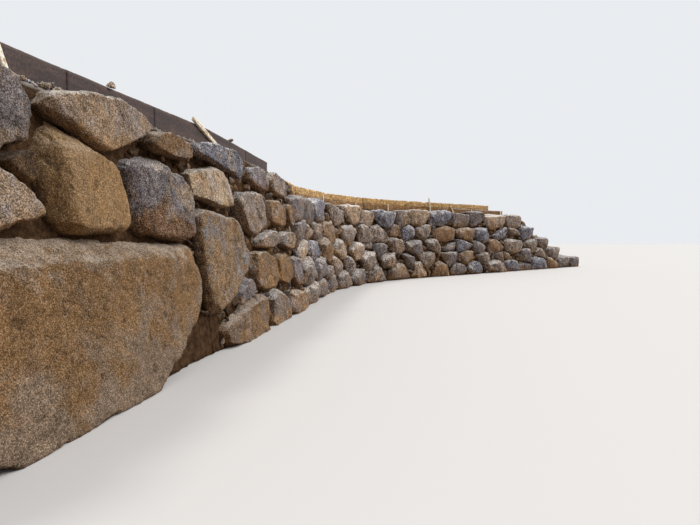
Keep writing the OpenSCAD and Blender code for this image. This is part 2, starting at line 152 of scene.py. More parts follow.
def lattice(cell, seed):
    """A repeatable number from -1 to 1 for each whole-numbered cell."""
    h = cell[..., 0] * HASH_X + cell[..., 1] * HASH_Y + cell[..., 2] * HASH_Z + seed * HASH_MIX
    h = (h ^ (h >> 13)) * HASH_MIX
    h = h ^ (h >> 16)
    return (h & 0xFFFFFF) / 0x7FFFFF - 1.0


def noise(points, scale, seed=0):
    """Smooth noise from -1 to 1 with features of about the given scale in metres."""
    p = points / scale
    base = np.floor(p).astype(np.int64)
    f = p - base
    f = f * f * f * (f * (f * 6 - 15) + 10)
    total = 0.0
    for i, j, k in np.ndindex(2, 2, 2):
        w = (f[:, 0] if i else 1 - f[:, 0]) * (f[:, 1] if j else 1 - f[:, 1])
        w = w * (f[:, 2] if k else 1 - f[:, 2])
        total = total + w * lattice(base + np.array([i, j, k]), seed)
    return total


def fractal(points, scale, octaves, rough=0.5, seed=0):
    """Noise summed over octaves, each about half as large as the last."""
    total, amp, norm = 0.0, 1.0, 0.0
    for o in range(octaves):
        total = total + amp * noise(points, scale / 2.03 ** o, seed + 17 * o)
        norm += amp
        amp *= rough
    return total / norm


def chips(points, scale, seed, jitter=0.38, sharp=22):
    """Broken facets, from about -0.5 to 0.5: each cell of a scattered grid tilts its own way."""
    p = points / scale
    base = np.floor(p).astype(np.int64)
    total, weight = np.zeros(len(p)), np.full(len(p), 1e-9)
    for step in np.ndindex(3, 3, 3):
        cell = base + np.array(step) - 1
        gap = p - cell - 0.5 - jitter * np.stack([lattice(cell, seed + k) for k in range(3)], -1)
        tilt = (gap * np.stack([lattice(cell, seed + k) for k in (3, 4, 5)], -1)).sum(1)
        w = np.exp(-sharp * (gap * gap).sum(1))
        total += w * (0.55 * tilt + 0.3 * lattice(cell, seed + 6))
        weight += w
    return total / weight


# Stones

grids = {}


def box_grid(counts):
    """Points on a cube from -1 to 1 and their quads, with the given numbers of quads along x, y and z."""
    if counts in grids:
        return grids[counts]
    pts, quads, start = [], [], 0
    steps = [np.linspace(-1, 1, n + 1) for n in counts]
    for axis in range(3):
        a, b = (axis + 1) % 3, (axis + 2) % 3
        u, v = np.meshgrid(steps[a], steps[b], indexing="ij")
        idx = np.arange(u.size).reshape(u.shape)
        quad = np.stack([idx[:-1, :-1], idx[1:, :-1], idx[1:, 1:], idx[:-1, 1:]], -1).reshape(-1, 4)
        for side in (1.0, -1.0):
            grid = np.empty(u.shape + (3,))
            grid[..., axis], grid[..., a], grid[..., b] = side, u, v
            pts.append(grid.reshape(-1, 3))
            quads.append((quad if side > 0 else quad[:, ::-1]) + start)
            start += u.size
    pts, quads = welded(np.concatenate(pts), np.concatenate(quads), 1e5)
    grids[counts] = (pts, quads)
    return pts, quads


def welded(pts, faces, fineness):
    """Points and faces with points that round to the same place made one."""
    key = np.round(pts * fineness).astype(np.int64)
    _, first, weld = np.unique(key, axis=0, return_index=True, return_inverse=True)
    return pts[first], weld.reshape(-1)[faces]


def body_labels(count, tri):
    """A number for each point, the same for all points that triangles join."""
    label = np.arange(count)
    while True:
        new = label.copy()
        np.minimum.at(new, tri.reshape(-1), np.repeat(label[tri].min(1), 3))
        new = new[new]
        if (new == label).all():
            return label
        label = new


def loose_stones(node):
    """Middle, face normals, face distances and corners of each convex solid of a CAD node."""
    mesh = frame["nodes"][node].data
    co = np.zeros(len(mesh.vertices) * 3)
    mesh.vertices.foreach_get("co", co)
    mesh.calc_loop_triangles()
    tri = np.zeros(len(mesh.loop_triangles) * 3, np.int32)
    mesh.loop_triangles.foreach_get("vertices", tri)
    co, tri = welded(co.reshape(-1, 3), tri, 1e4)
    tri = tri.reshape(-1, 3)
    label = body_labels(len(co), tri)
    stones = []
    for key in np.unique(label[tri[:, 0]]):
        t = tri[label[tri[:, 0]] == key]
        corners = co[np.unique(t)]
        n = np.cross(co[t[:, 1]] - co[t[:, 0]], co[t[:, 2]] - co[t[:, 0]])
        area = np.linalg.norm(n, axis=1)
        solid = area > 1e-6
        t, n = t[solid], n[solid] / area[solid][:, None]
        middle = (corners.min(0) + corners.max(0)) / 2
        dist = ((co[t[:, 0]] - middle) * n).sum(1)
        n = np.where(dist[:, None] < 0, -n, n)
        stones.append((middle, n, np.abs(dist), corners))
    return sorted(stones, key=lambda s: tuple(np.round(s[0], 3)))


def principal_axes(corners):
    """Right-handed axes of a body as columns, the shortest first."""
    span = corners - corners.mean(0)
    _, axes = np.linalg.eigh(span.T @ span)
    if np.linalg.det(axes) < 0:
        axes[:, 0] *= -1
    return axes


def facet_reach(dirs, normals, dist, sharp=110):
    """How far a rounded convex body reaches along each direction."""
    share = np.clip(dirs @ normals.T, 0, None) / dist
    top = share.max(1)
    return 1 / (top * ((share / top[:, None]) ** sharp).sum(1) ** (1 / sharp))


def broken_planes(corners, half, axes, breaks, crown, rng):
    """Planes that break corners off a stone: normals and distances. A crown slants and lowers its top."""
    normals = rng.normal(size=(breaks, 3)) / half @ axes.T
    normals /= np.linalg.norm(normals, axis=1)[:, None]
    dist = (normals @ corners.T).max(1) * rng.uniform(0.86, 0.97, breaks)
    if crown:
        top = np.array([rng.uniform(-0.25, 0.25), rng.uniform(-0.25, 0.25), 1.0])
        normals = np.vstack([normals, top / np.linalg.norm(top)])
        dist = np.append(dist, corners[:, 2].max() * (1 - crown * rng.random()))
    return normals, dist


# Height of a stone's finest lumps, and the quads per metre from which its small flakes show
GRAIN = 0.008
FLAKED_FROM = 25


def rough_stone(stone, seed, density, breaks=8, swell=0.004, carve=0.09, lumps=0.015, crown=0.0,
                lead=0.3):
    """A boulder on the CAD stone: broken facets, lumps and grain. Returns points, quads, relief and normals.

    density is in quads per metre. They lie closer together on the side that shows: lead is above 0 for the
    wall's face and below 0 for its back.
    """
    middle, normals, dist, corners = stone
    rng = np.random.default_rng(seed)
    axes = principal_axes(corners)
    corners = corners - middle
    half = np.abs(corners @ axes).max(0)
    cube, quads = box_grid(tuple(int(c) for c in np.maximum(4, np.round(2 * half * density))))
    station = wall_coords(middle[None])[0, 0]
    ahead = place(station, 0, 0) - place(station, 1, 0)
    dirs = (cube * half) @ axes.T + lead * (corners @ ahead).max() * ahead
    dirs /= np.linalg.norm(dirs, axis=1)[:, None]
    cuts, cut_dist = broken_planes(corners, half, axes, breaks, crown, rng)
    reach = facet_reach(dirs, np.vstack([normals, cuts]), np.concatenate([dist, cut_dist]))
    pts = middle + dirs * (reach + swell)[:, None]
    out = point_normals(pts, quads)
    size = float(np.prod(half) ** (1 / 3))
    big = chips(pts + 0.05 * size * noise(pts, 0.5 * size, seed + 2)[:, None], 0.85 * size, seed) - 0.12
    small = chips(pts, 0.3 * size + 0.03, seed + 31) - 0.1
    low = fractal(pts, 0.5 * size + 0.05, 3, 0.5, seed)
    mid = fractal(pts, 0.13, 4, 0.66, seed + 5)
    flakes = chips(pts, 0.075, seed + 47) if density > FLAKED_FROM else 0.0
    pit = (1 - np.abs(noise(pts, 0.07, seed + 9))) ** 4
    rough = size * (carve * big + 0.35 * carve * small + lumps * low)
    rough = rough + GRAIN * (mid + 1.6 * flakes) - 0.8 * GRAIN * pit
    pts = above_ground(pts + out * rough[:, None])
    relief = np.clip(0.70 + 0.9 * mid + 0.3 * flakes - 0.35 * pit, 0, 1)
    return pts, quads, relief, out


def point_normals(pts, quads):
    """Unit normals of the points, averaged over the quads round each."""
    n = np.cross(pts[quads[:, 2]] - pts[quads[:, 0]], pts[quads[:, 3]] - pts[quads[:, 1]])
    total = np.zeros_like(pts)
    for k in range(4):
        np.add.at(total, quads[:, k], n)
    return total / np.maximum(np.linalg.norm(total, axis=1), 1e-12)[:, None]


def above_ground(pts):
    """The points, with none below the ground."""
    return np.maximum(pts, [-np.inf, -np.inf, 0])


class Heap:
    """Gathers many closed meshes into one piece, with a material and point fields for each."""

    def __init__(self):
        self.points, self.faces, self.looks, self.fields, self.count = [], [], [], {}, 0

    def add(self, pts, quads, look, **fields):
        """Adds a mesh. look is its material's place in the piece's list."""
        self.points.append(pts)
        self.faces.append(np.asarray(quads) + self.count)
        self.looks.append(np.full(len(quads), look))
        for key, value in fields.items():
            self.fields.setdefault(key, []).append(np.broadcast_to(value, (len(pts),)))
        self.count += len(pts)

    def piece(self, name, materials, smooth=True):
        """Makes the object from all that was added."""
        mesh = bpy.data.meshes.new(name)
        pts, faces = np.concatenate(self.points), np.concatenate(self.faces)
        side = faces.shape[1]
        mesh.vertices.add(len(pts))
        mesh.vertices.foreach_set("co", pts.reshape(-1).astype(np.float32))
        mesh.loops.add(faces.size)
        mesh.loops.foreach_set("vertex_index", faces.reshape(-1).astype(np.int32))
        mesh.polygons.add(len(faces))
        mesh.polygons.foreach_set("loop_start", np.arange(0, faces.size, side, dtype=np.int32))
        mesh.polygons.foreach_set("use_smooth", np.full(len(faces), smooth))
        for m in materials:
            mesh.materials.append(m)
        mesh.polygons.foreach_set("material_index", np.concatenate(self.looks).astype(np.int32))
        mesh.update(calc_edges=True)
        for key, values in self.fields.items():
            layer = mesh.attributes.new(key, "FLOAT", "POINT")
            layer.data.foreach_set("value", np.concatenate(values).astype(np.float32))
        mesh.validate()
        obj = new_object(name, mesh)
        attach(obj, "root")
        return obj


# Materials

class Nodes:
    """Short helpers to build a tree of shader nodes."""

    def __init__(self, tree):
        self.tree = tree

    def set(self, socket, value):
        """Links a socket to another, or gives it a number, a vector or a colour of three numbers."""
        if hasattr(value, "is_output"):
            self.tree.links.new(value, socket)
        else:
            socket.default_value = (*value, 1) if socket.type == "RGBA" else value

    def node(self, kind, inputs=None, **props):
        """A new node, with its properties and then its inputs set."""
        n = self.tree.nodes.new("ShaderNode" + kind)
        for key, value in props.items():
            setattr(n, key, value)
        for key, value in (inputs or {}).items():
            self.set(n.inputs[key], value)
        return n

    def math(self, op, a, b):
        return self.node("Math", {0: a, 1: b}, operation=op).outputs[0]

    def times(self, a, b):
        return self.math("MULTIPLY", a, b)

    def vector(self, op, a, b):
        return self.node("VectorMath", {0: a, 1: b}, operation=op).outputs[0]

    def shaken(self, value, noise, amount):
        """The value moved up and down by noise that varies round 0.5."""
        return self.math("ADD", value, self.times(self.math("SUBTRACT", noise, 0.5), amount))

    def ramp(self, value, low, high, first=0.0, last=1.0):
        """From first to last, smoothly, while the value goes from low to high."""
        inputs = {0: value, 1: low, 2: high, 3: first, 4: last}
        return self.node("MapRange", inputs, interpolation_type="SMOOTHSTEP").outputs[0]

    def mix(self, factor, a, b, blend="MIX"):
        return self.node("Mix", {0: factor, 6: a, 7: b}, data_type="RGBA", blend_type=blend).outputs[2]

    def mottled(self, body, value, spread, share, amount=1.0):
        """The body colour darker where the value is low and lighter where it is high."""
        grey = self.ramp(value, 0.5 - spread, 0.5 + spread, 0.5 - 0.34 * share, 0.5 + 0.5 * share)
        return self.mix(amount, body, grey, "OVERLAY")

    def field(self, name):
        """A number that the mesh carries at each point."""
        return self.node("Attribute", attribute_name=name).outputs[2]

    def height(self, vector):
        """The third number of a vector."""
        return self.node("SeparateXYZ", {0: vector}).outputs[2]

    def facing_up(self):
        """1 where the surface faces the sky, 0 where it stands upright."""
        return self.height(self.node("NewGeometry").outputs["Normal"])

    def seen_rays(self):
        """1 for rays from the camera, and for those that a glossy or clear surface sends on."""
        path = self.node("LightPath").outputs
        seen = self.math("MAXIMUM", path["Is Camera Ray"], path["Is Glossy Ray"])
        return self.math("MAXIMUM", seen, path["Is Transmission Ray"])

    def place(self, drift=None, stretch=(1, 1, 1)):
        """Position in metres, shifted by a per-stone number so that neighbours differ."""
        m = self.node("Mapping", {0: self.node("TexCoord").outputs["Object"], 3: stretch})
        return m.outputs[0] if drift is None else self.vector("ADD", m.outputs[0], drift)

    def noise(self, where, scale, detail, rough, warp=0.0):
        inputs = {"Vector": where, "Scale": scale, "Detail": detail, "Roughness": rough, "Distortion": warp}
        return self.node("TexNoise", inputs).outputs[0]

    def spots(self, where, scale, edge, core):
        """Scattered round spots, 0 beyond their edge and 1 within their core."""
        n = self.node("TexVoronoi", {"Vector": where, "Scale": scale})
        return self.ramp(n.outputs["Distance"], edge, core)


class Material(Nodes):
    """A procedural material."""

    def __init__(self, name):
        self.mat = bpy.data.materials.new(name)
        self.mat.use_nodes = True
        super().__init__(self.mat.node_tree)
        self.tree.nodes.clear()
        self.shader = self.node("BsdfPrincipled")
        self.node("OutputMaterial", {0: self.shader.outputs[0]})

    def bump(self, heights, strength):
        """heights: list of (value, distance in metres), each on top of the last."""
        inputs = {"Strength": strength}
        for value, distance in heights:
            inputs.update(Distance=distance, Height=value)
            inputs["Normal"] = self.node("Bump", inputs).outputs[0]
        self.set(self.shader.inputs["Normal"], inputs["Normal"])

    def finish(self, colour, rough, spec):
        for key, value in (("Base Color", colour), ("Roughness", rough), ("Specular IOR Level", spec)):
            self.set(self.shader.inputs[key], value)
        return self.mat


# Earth with painted shade in the joints of the stones and on their flanks, and mud along their foot
EARTH_AND_SHADE = (0.030, 0.014, 0.006)
FLANK_EARTH_AND_SHADE = (0.118, 0.062, 0.023)
MUD = (0.200, 0.115, 0.048)
# Dry earth on the boards, and the pale dusting on top of the stones, partly a painted highlight
EARTH_DRY = (0.095, 0.050, 0.022)
DUST_AND_TOP_LIGHT = (0.50, 0.47, 0.43)
# What the whole colour of a stone is multiplied by, for its own darker tone and for painted shade on the far
# stones
DARK_TONE_AND_SHADE = (0.55, 0.53, 0.52)
# Packed earth between the stones, wet and dry, the wet darkened as painted shade, its pebbles and the gravel
# on top
WET_FILL_AND_SHADE = (0.036, 0.016, 0.006)
FILL_DRY = (0.105, 0.055, 0.024)
FILL_PEBBLE = (0.15, 0.10, 0.055)
GRAVEL = (0.30, 0.27, 0.24)


def rock(name, base, patch, pale, speck, stain, patchy=0.5, dust_and_top_light=0.4, vary=0.45, mud=MUD):
    """Rough rock: two body colours in patches, grey and rusty clouds, dark and pale grains at four scales, a
    pale dusty top that is partly a painted highlight, earth with painted shade on its flanks and in its
    joints, darker hollows, mud along its foot, and painted shade on the far stones."""
    m = Material(name)
    drift, fine, low = m.field("drift"), m.field("fine"), m.field("low")
    where = m.place(drift)
    broad = m.noise(where, 1.7, 6, 0.66, 0.6)
    soak = m.noise(where, 2.3, 6, 0.65, 0.3)
    cloud = m.noise(m.place(drift, (1.0, 1.0, 0.6)), 4.6, 5, 0.68, 0.4)
    streaks = m.noise(m.place(drift, (1.0, 1.0, 0.4)), 6.0, 6, 0.7, 0.5)
    close = m.vector("MULTIPLY", where, fine)
    mottle = m.noise(close, 12.0, 4, 0.7)
    grit = m.noise(close, 64.0, 3, 0.7)
    grain = m.noise(close, 105.0, 2, 0.6)
    # Body colours, with clouds about as bright as the base, and the tone of the whole stone, darkened as
    # painted shade on the far stones
    grey = 0.3 * base[0] + 0.6 * base[1] + 0.1 * base[2]
    body = m.mix(m.ramp(broad, 0.62 - 0.2 * patchy, 0.70 - 0.2 * patchy), base, patch)
    body = m.mix(m.times(m.ramp(cloud, 0.49, 0.60), vary), body, (1.05 * grey, grey, 1.03 * grey))
    rusty = (1.5 * grey, 0.88 * grey, 0.42 * grey)
    body = m.mix(m.times(m.ramp(cloud, 0.47, 0.38), 0.6 * vary), body, rusty)
    body = m.mix(m.times(m.field("tone"), 0.5), body, m.mix(1.0, body, DARK_TONE_AND_SHADE, "MULTIPLY"))
    # Mud along the foot, earth with painted shade on the flanks, a pale dusty top that is partly a painted
    # highlight
    stained = m.ramp(m.shaken(low, soak, 1.6), 0.90 - 0.5 * stain, 1.15 - 0.5 * stain)
    body = m.mix(m.times(stained, 0.85), body, mud)
    side = m.shaken(m.field("side"), soak, 1.2)
    body = m.mix(m.times(m.ramp(side, 0.6, 1.0), 0.65), body, FLANK_EARTH_AND_SHADE)
    # Pale on top: partly dusty, partly a painted highlight where the sky lights the tops
    height = m.math("SUBTRACT", m.facing_up(), m.times(low, 0.5))
    height = m.shaken(m.shaken(height, streaks, 1.0), broad, 1.2)
    body = m.mix(m.times(m.ramp(height, 0.2, 0.8), dust_and_top_light), body, m.mix(0.5, pale, DUST_AND_TOP_LIGHT))
    # Grains, coarser on the stones beyond
    for value, spread, share in ((streaks, 0.14, 0.4), (mottle, 0.16, 0.35), (grit, 0.12, 0.8),
                                 (grain, 0.11, 1.2)):
        body = m.mottled(body, value, spread, share * speck)
    beyond = m.math("SUBTRACT", 1.0, fine)
    body = m.mottled(body, m.noise(where, 24.0, 3, 0.75), 0.12, 1.1, beyond)
    pick = m.times(m.ramp(grit, 0.56, 0.66), m.ramp(mottle, 0.42, 0.58))
    body = m.mix(m.times(pick, 0.6 * speck), body, pale)
    body = m.mix(m.times(m.ramp(grain, 0.60, 0.67), 0.7), body, pale)
    # Darker in the hollows, and earth with painted shade deep in the joints
    hollow = m.math("SUBTRACT", 1.0, m.field("relief"))
    body = m.mix(m.times(m.ramp(hollow, 0.62, 1.0), 0.5), body, EARTH_AND_SHADE)
    inner = m.shaken(m.field("bed"), soak, 0.8)
    body = m.mix(m.times(m.ramp(inner, 0.06, 0.5), 0.95), body, EARTH_AND_SHADE)
    m.bump([(m.noise(where, 10, 8, 0.7), 0.05), (grit, 0.016), (grain, 0.006)], 1.0)
    return m.finish(body, 0.92, 0.2)


def earth_material():
    """Dark wet earth in the joints, darkened as painted shade, drier and full of grey gravel where it faces
    up.
    """
    m = Material("packed_earth")
    where = m.place()
    clods = m.noise(where, 14, 9, 0.74)
    pebbles = m.spots(where, 38, 0.30, 0.14)
    level = m.ramp(m.facing_up(), 0.4, 0.85)
    body = m.mix(m.ramp(clods, 0.38, 0.62), WET_FILL_AND_SHADE, FILL_DRY)
    body = m.mix(m.times(level, m.ramp(clods, 0.40, 0.52)), body, GRAVEL)
    body = m.mix(m.times(pebbles, 0.5), body, m.mix(level, FILL_PEBBLE, GRAVEL))
    m.bump([(clods, 0.05), (m.noise(where, 60, 6, 0.7), 0.012), (pebbles, 0.008)], 0.9)
    return m.finish(body, 0.95, 0.15)


def film_plywood():
    """Dark brown film, dusty and scuffed, with pale mud splashed along its foot and bare worn edges."""
    m = Material("film_faced_plywood")
    where = m.place()
    shade = m.noise(m.place(None, (0.35, 0.35, 3.0)), 5, 6, 0.65)
    scuff = m.noise(m.place(None, (0.5, 0.5, 6.0)), 20, 6, 0.7)
    dirt = m.noise(where, 9, 8, 0.7)
    film = m.mix(m.ramp(shade, 0.35, 0.7), (0.024, 0.012, 0.010), (0.055, 0.029, 0.024))
    film = m.mix(m.times(m.ramp(scuff, 0.60, 0.72), 0.35), film, (0.14, 0.092, 0.068))
    film = m.mix(m.times(m.ramp(dirt, 0.55, 0.72), 0.45), film, EARTH_DRY)
    film = m.mix(m.times(m.field("foot"), 0.7), film, EARTH_DRY)
    film = m.mix(m.times(m.field("edge"), 0.7), film, (0.20, 0.13, 0.085))
    film = m.mottled(film, m.noise(where, 34, 4, 0.75), 0.12, 0.7)
    m.bump([(scuff, 0.001), (m.noise(where, 60, 5, 0.7), 0.001)], 0.4)
    return m.finish(film, 0.6, 0.32)


def timber(name, pale, dark, fibres=22.0):
    """Sawn softwood: fibres along the piece, knots and grey weathering."""
    m = Material(name)
    drift = m.field("drift")
    plain = m.place(drift)
    along, across = m.times(m.field("along"), 1.2), m.times(m.field("across"), fibres)
    grid = m.node("CombineXYZ", {0: along, 1: across, 2: drift})
    fibre = m.noise(grid.outputs[0], 3.0, 8, 0.7, 0.6)
    weathered = m.ramp(m.noise(plain, 5, 5, 0.6), 0.5, 0.75)
    knots = m.spots(plain, 2.4, 0.10, 0.05)
    wood = m.mix(m.ramp(fibre, 0.32, 0.70), dark, pale)
    wood = m.mix(m.times(weathered, 0.5), wood, (0.36, 0.285, 0.20))
    wood = m.mix(m.times(knots, 0.8), wood, (0.22, 0.12, 0.06))
    wood = m.mix(m.times(m.field("foot"), 0.6), wood, EARTH_DRY)
    for scale, share in ((9.0, 0.35), (32.0, 0.8)):
        wood = m.mottled(wood, m.noise(plain, scale, 3, 0.7), 0.13, share)
    m.bump([(fibre, 0.002), (m.noise(plain, 80, 4, 0.6), 0.0008)], 0.5)
    return m.finish(wood, 0.75, 0.25)


# Each kind of rock: its material's name, body colour, second colour and pale grains
ROCKS = {
    "buff": rock("buff_rock", (0.36, 0.219, 0.098), (0.415, 0.268, 0.133), (0.64, 0.50, 0.33),
                 speck=0.36, stain=0.0, dust_and_top_light=0.3, vary=0.1),
    "earth": rock("earth_stained_rock", (0.201, 0.113, 0.050), (0.230, 0.163, 0.117), (0.53, 0.44, 0.34),
                  speck=0.62, stain=0.1, patchy=0.45),
    "blue": rock("blue_grey_rock", (0.153, 0.132, 0.137), (0.27, 0.200, 0.140), (0.55, 0.50, 0.46),
                 speck=0.75, stain=0.75, dust_and_top_light=0.3, mud=(0.113, 0.051, 0.013)),
    "slate": rock("slate_blue_rock", (0.113, 0.114, 0.139), (0.225, 0.188, 0.165), (0.56, 0.54, 0.54),
                  speck=1.0, stain=0.2, patchy=0.42),
    "dark": rock("dark_grey_rock", (0.140, 0.117, 0.113), (0.182, 0.126, 0.080), (0.48, 0.44, 0.42),
                 speck=0.65, stain=0.3),
    "pale": rock("pale_buff_rock", (0.308, 0.220, 0.149), (0.287, 0.184, 0.104), (0.70, 0.62, 0.54),
                 speck=0.62, stain=0.45, patchy=0.55, dust_and_top_light=0.6, mud=(0.27, 0.165, 0.08)),
    "tan": rock("sandy_rock", (0.430, 0.319, 0.216), (0.372, 0.260, 0.166), (0.72, 0.64, 0.54),
                speck=0.65, stain=0.1),
    "ochre": rock("ochre_rock", (0.235, 0.126, 0.044), (0.195, 0.118, 0.058), (0.52, 0.38, 0.21),
                  speck=0.5, stain=0.2, patchy=0.4),
    "grey": rock("grey_rock", (0.180, 0.140, 0.115), (0.200, 0.128, 0.072), (0.55, 0.49, 0.44),
                 speck=0.85, stain=0.3, dust_and_top_light=0.5),
    "great": rock("great_foot_rock", (0.203, 0.113, 0.046), (0.220, 0.152, 0.100), (0.53, 0.44, 0.34),
                  speck=0.48, stain=0.62, patchy=0.45, vary=0.15, mud=(0.210, 0.152, 0.106)),
    "streaked": rock("streaked_rock", (0.203, 0.127, 0.067), (0.192, 0.175, 0.169), (0.53, 0.46, 0.38),
                     speck=0.62, stain=0.2, vary=0.7),
    # A dark earthy rock whose colour is a painted shadow, for stones that lie in deep shade
    "damp": rock("damp_earthy_rock", (0.060, 0.032, 0.015), (0.095, 0.055, 0.028), (0.20, 0.14, 0.09),
                 speck=0.6, stain=0.3, dust_and_top_light=0.1),
}
KINDS = list(ROCKS)
ROCK_LIST = [ROCKS[k] for k in KINDS]
EARTHY = earth_material()

# How far apart the textures of two stones may be shifted
DRIFT = 40


# Boulders

# How far behind the face a joint's earth and painted shade start, and how much deeper they cover the stones
EARTH_SHADE_FROM = 0.10
EARTH_SHADE_RUN = 0.30
# Stones of the far courses that reach above this height have broken tops, lower by this share at most
CROWN_FROM = 2.25
CROWN = 0.35


def bed_share(pts, out, both):
    """How deep each point lies in the joint, from 0 on the face to 1 well inside the wall: the share of
    earth and painted shade there. Tops and the stones of the raking end get little of it."""
    station, depth, z = wall_coords(pts).T
    face = depth - BATTER * z
    if both:
        inside = np.minimum(face - face.min(), depth.max() - depth)
        inside = np.minimum(inside, station - station.min())
    elif depth.mean() < CORE_FRONT:
        inside = face - face.min()
    else:
        inside = depth.max() - depth
    share = np.clip((inside - EARTH_SHADE_FROM) / EARTH_SHADE_RUN, 0, 1) * (1 - 0.85 * np.clip(1.5 * out[:, 2], 0, 1))
    return share * (0.15 if station.mean() > RAKE_START else 1.0)


def side_share(pts, out):
    """How far the surface turns away from the wall's face and from the sky, from 0 to 1: where the flanks
    get earth and painted shade.
    """
    turn = turned(wall_coords(pts)[:, 0])
    front = out[:, 0] * np.sin(turn) + out[:, 1] * np.cos(turn)
    up = np.clip(out[:, 2], 0, 1)
    return np.sqrt(np.clip(1 - front ** 2 - up ** 2, 0, 1))


def add_stone(heap, stone, kind, seed, both, flank=1.0, **shape):
    """Adds a rough stone. both: it shows on both faces. flank: how much earth and painted shade its sides
    carry.
    """
    pts, quads, relief, out = rough_stone(stone, seed, **shape)
    top, foot = pts[:, 2].max(), pts[:, 2].min()
    station = wall_coords(pts)[:, 0].mean()
    # The farther stones lie from the camera's end, the more painted shade they get and the coarser their
    # grain is
    far_shade = float(np.interp(station, (9, 15), (0, 0.6)))
    fine = float(np.interp(station, (4, 9, 16), (1.0, 0.65, 0.42)))
    open_end = both or station > RAKE_START
    heap.add(pts, quads, KINDS.index(kind), drift=seed * 7.31 % DRIFT,
             tone=far_shade + (1 - far_shade) * (seed * 0.377 % 1), relief=relief, bed=bed_share(pts, out, both),
             low=(top - pts[:, 2]) / (top - foot), side=side_share(pts, out) * (0.2 if open_end else flank),
             fine=fine)


def stone_piece(node, choose, slot, seed, both=False, crowned=False, **shape):
    """Replaces one CAD node of stones, each solid of it by a rough stone; choose names a stone's kind."""
    heap = Heap()
    for i, stone in enumerate(loose_stones(node)):
        high = crowned and stone[3][:, 2].max() > CROWN_FROM
        add_stone(heap, stone, choose(i, stone[0]), seed + 3 * i, both, crown=CROWN * high, **shape)
    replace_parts(heap.piece(node + "_rock", ROCK_LIST), node)


# Near boulders: node, kinds, material slot, quads per metre, rest of the shape
NEAR = [
    ("great_foot_boulder", ["great"], "earth_stained_stone", 50, dict(breaks=3, carve=0.05, lumps=0.012)),
    # Its flanks carry extra earth and painted shade
    ("flat_faced_boulder", ["buff"], "buff_stone", 52, dict(breaks=0, carve=0.03, lumps=0.010, flank=1.8)),
    ("blue_boulder", ["blue"], "blue_grey_stone", 52, dict(breaks=5, carve=0.10)),
    ("dark_top_boulder", ["dark"], "dark_grey_stone", 52, dict(breaks=4)),
    ("long_top_boulder", ["pale"], "buff_stone", 52, dict(breaks=4)),
    ("near_middle_boulder", ["pale"], "earth_stained_stone", 52, dict(breaks=5)),
    ("buff_block", ["tan"], "buff_stone", 50, dict(breaks=4)),
    ("tall_boulder", ["streaked"], "earth_stained_stone", 46, dict(breaks=6)),
    ("buff_foot_boulder", ["earth"], "buff_stone", 38, {}),
    ("round_boulder", ["earth"], "earth_stained_stone", 40, {}),
    ("brown_upper_boulder", ["grey"], "earth_stained_stone", 40, dict(carve=0.12)),
    ("small_top_boulder", ["earth"], "buff_stone", 46, {}),
    ("grey_top_boulder", ["slate"], "dark_grey_stone", 40, {}),
    # The first chink stone is a dark kind painted as a stone in deep shadow
    ("chink_stones", ["damp", "dark"], "earth_stained_stone", 38, {}),
    ("foot_boulders_bay_2", ["grey", "earth"], "buff_stone", 28, {}),
    ("middle_boulders_bay_2", ["grey", "ochre", "blue"], "earth_stained_stone", 30, {}),
    ("upper_boulders_bay_2", ["earth", "grey", "earth"], "earth_stained_stone", 30, {}),
    ("top_boulders_bay_2", ["blue", "grey"], "blue_grey_stone", 30, {}),
]

# Far stones that stand out in the photograph, by the height of their course: station and kind
FAR_COURSES = {
    2.10: [(11.8, "slate"), (10.4, "dark"), (13.3, "grey"), (14.5, "pale"), (15.4, "pale"), (16.3, "slate"),
           (17.2, "grey"), (18.0, "pale"), (19.2, "slate"), (20.5, "dark"), (21.5, "dark"), (22.6, "pale"),
           (24.0, "grey")],
    1.56: [(11.4, "grey"), (12.8, "earth"), (14.1, "grey"), (15.0, "grey"), (15.9, "grey"), (16.7, "earth"),
           (17.4, "slate"), (18.2, "grey"), (19.3, "earth"), (20.6, "earth"), (21.7, "slate"),
           (22.8, "slate"), (23.9, "grey")],
    1.08: [(13.3, "pale"), (14.3, "pale"), (17.7, "dark"), (20.5, "slate"), (21.5, "dark"), (22.5, "earth"),
           (23.8, "grey")],
}
FAR_MARKS = [(station, z, kind) for z, course in FAR_COURSES.items() for station, kind in course]
MARK_DEPTH = 0.45
MARK_POINTS = place([m[0] for m in FAR_MARKS], MARK_DEPTH, [m[1] for m in FAR_MARKS])
MARK_REACH = 0.35
# The kinds of the other far stones
MIX = ["grey", "earth", "pale", "slate", "grey", "dark", "dark", "grey"]
# Quads per metre of the face boulders in bays 3 to 6
FACE_DENSITY = {3: 15, 4: 13, 5: 13, 6: 12}
END_KINDS = ["earth", "grey", "pale", "dark"]


def far_kind(i, middle):
    """The kind of the marked stone at this place, or one picked by place and number."""
    gap = np.linalg.norm(MARK_POINTS - middle, axis=1)
    if gap.min() < MARK_REACH:
        return FAR_MARKS[int(gap.argmin())][2]
    pick = lattice(np.round(middle * 10).astype(np.int64), i) + 1
    return MIX[int(pick * 0.4999 * len(MIX))]


def build_stones():
    """The boulders of both faces, the near end and the toe."""
    for k, (node, kinds, slot, density, shape) in enumerate(NEAR):
        stone_piece(node, lambda i, _, kinds=kinds: kinds[i], slot, 100 * k + 11, density=density, **shape)
    for bay, density in FACE_DENSITY.items():
        stone_piece("face_boulders_bay_%d" % bay, far_kind, "mixed_stone", 5000 + 100 * bay,
                    density=density, breaks=4, crowned=True, swell=0.022, carve=0.14)
    for bay in range(1, BAYS + 1):
        stone_piece("rear_boulders_bay_%d" % bay, far_kind, "mixed_stone", 7000 + 100 * bay,
                    density=10.5, breaks=3, swell=0.03, lead=-0.3)
    stone_piece("end_stones", lambda i, _: END_KINDS[i], "mixed_stone", 8000, True, density=20, lead=0)
    stone_piece("toe_boulder", lambda i, _: "dark", "dark_grey_stone", 8100, density=17)


# Earth and gravel between the skins

